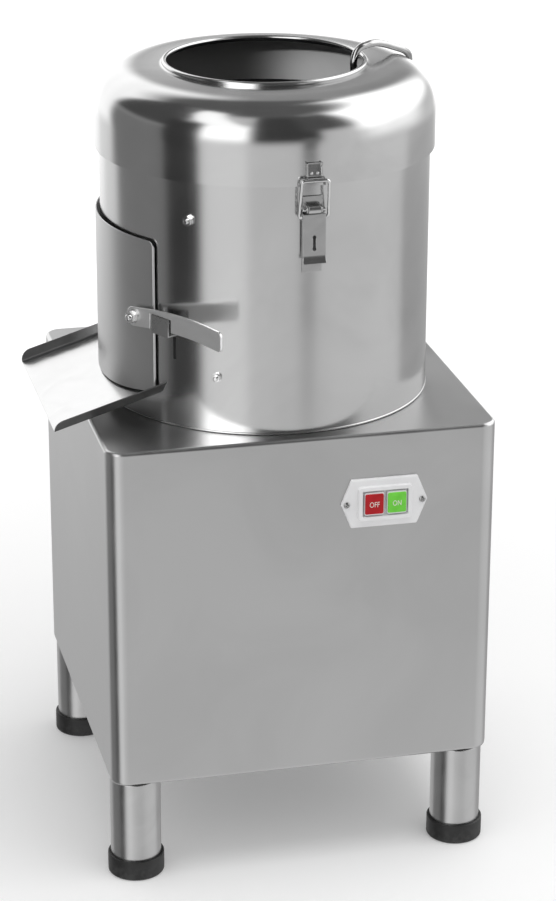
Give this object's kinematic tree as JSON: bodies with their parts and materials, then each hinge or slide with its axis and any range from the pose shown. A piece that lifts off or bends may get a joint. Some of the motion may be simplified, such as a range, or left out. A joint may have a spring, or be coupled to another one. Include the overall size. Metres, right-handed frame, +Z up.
{
  "type": "potato peeling machine",
  "caption": "Floor-standing potato peeler: lidded drum with abrasive lining, turning disc and side chute, on a cabinet with legs that houses motor and belt drive.",
  "frame": {"origin": "on the floor under the middle of the machine's overall box", "axes": "+Z up; -Y is the front with the switch; -X is the side with the discharge chute"},
  "size_m": [0.4828, 0.4722, 0.9094],
  "materials": {
    "brushed_steel": "brushed stainless sheet",
    "polished_steel": "polished stainless",
    "zinc_plate": "bright plated",
    "cast_iron": "machined casting",
    "abrasive_coat": "coarse abrasive grit on metal",
    "black_rubber": "matt",
    "white_plastic": "moulded",
    "black_plastic": "moulded",
    "red_plastic": "moulded",
    "green_plastic": "moulded",
    "motor_paint": "satin paint"
  },
  "bodies": {
    "machine": {"cabinet_shell": "brushed_steel", "rear_panel": "brushed_steel", "leg_front_left": "brushed_steel", "leg_front_right": "brushed_steel", "leg_rear_left": "brushed_steel", "leg_rear_right": "brushed_steel", "discharge_chute": "brushed_steel", "door_catch": "brushed_steel", "door_hinge_bracket": "brushed_steel", "door_hinge_pin": "brushed_steel", "latch_base": "brushed_steel", "lid_hinge_bracket": "brushed_steel", "motor_mount_plate": "brushed_steel", "drain_pipe": "brushed_steel", "drum_shell": "polished_steel", "drum_floor": "polished_steel", "rear_panel_screw_left": "zinc_plate", "rear_panel_screw_right": "zinc_plate", "liner_bolt_upper": "zinc_plate", "liner_bolt_lower": "zinc_plate", "latch_pin": "zinc_plate", "lid_hinge_pin": "zinc_plate", "switch_screw_left": "zinc_plate", "switch_screw_right": "zinc_plate", "upper_bearing": "zinc_plate", "lower_bearing": "zinc_plate", "bearing_housing": "cast_iron", "abrasive_liner": "abrasive_coat", "foot_front_left": "black_rubber", "foot_front_right": "black_rubber", "foot_rear_left": "black_rubber", "foot_rear_right": "black_rubber", "shaft_seal": "black_rubber", "drive_belt": "black_rubber", "switch_plate": "white_plastic", "switch_body": "black_plastic", "terminal_box": "black_plastic", "cable_gland": "black_plastic", "motor_housing": "motor_paint", "motor_fan_cover": "motor_paint"},
    "lid": {"lid_shell": "polished_steel", "water_pipe": "zinc_plate", "pipe_clip": "zinc_plate", "latch_keeper": "brushed_steel", "lid_hinge_leaf": "brushed_steel"},
    "door": {"discharge_door": "brushed_steel", "door_pivot_bolt": "zinc_plate"},
    "door_lever": {"door_lever": "brushed_steel"},
    "latch_lever": {"latch_lever": "brushed_steel"},
    "latch_bail": {"latch_bail": "zinc_plate"},
    "off_button": {"off_button": "red_plastic"},
    "on_button": {"on_button": "green_plastic"},
    "spindle": {"main_shaft": "zinc_plate", "driven_pulley": "cast_iron", "abrasive_disc": "abrasive_coat", "disc_knob": "polished_steel"},
    "rotor": {"motor_shaft": "zinc_plate", "motor_pulley": "zinc_plate", "cooling_fan": "black_plastic"}
  },
  "joints": [
    {"name": "lid_hinge", "type": "hinge", "parent": "machine", "child": "lid", "pos_m": [0.0206, 0.18023, 0.7905], "axis": [-1, 0, 0], "range_deg": [0, 95]},
    {"name": "door_hinge", "type": "hinge", "parent": "machine", "child": "door", "pos_m": [-0.13141, 0.10507, 0.64], "axis": [0, 0, -1], "range_deg": [0, 105]},
    {"name": "door_lever_pivot", "type": "hinge", "parent": "door", "child": "door_lever", "pos_m": [-0.14611, -0.11252, 0.639], "axis": [-0.866, -0.5, 0], "range_deg": [0, 100]},
    {"name": "latch_lever_pivot", "type": "hinge", "parent": "machine", "child": "latch_lever", "pos_m": [0.02964, -0.20786, 0.775], "axis": [-0.9989, -0.0471, 0], "range_deg": [0, 110]},
    {"name": "latch_bail_pivot", "type": "hinge", "parent": "latch_lever", "child": "latch_bail", "pos_m": [0.02956, -0.20626, 0.766], "axis": [-0.9989, -0.0471, 0], "range_deg": [-116, 0]},
    {"name": "off_button_slide", "type": "slide", "parent": "machine", "child": "off_button", "axis": [0, 1, 0], "range_m": [0, 0.003], "stiffness_N_per_m": 400},
    {"name": "on_button_slide", "type": "slide", "parent": "machine", "child": "on_button", "axis": [0, 1, 0], "range_m": [0, 0.003], "stiffness_N_per_m": 400},
    {"name": "spindle_spin", "type": "hinge", "parent": "machine", "child": "spindle", "pos_m": [0.0206, -0.01627, 0.399], "axis": [0, 0, 1], "continuous": true},
    {"name": "rotor_spin", "type": "hinge", "parent": "machine", "child": "rotor", "pos_m": [0.1244, 0.10213, 0.399], "axis": [0, 0, 1], "continuous": true}
  ],
  "couplings": [
    {"joint": "latch_bail_pivot", "follows": "latch_lever_pivot", "ratio": -1.05},
    {"joint": "rotor_spin", "follows": "spindle_spin", "ratio": 3.72}
  ]
}
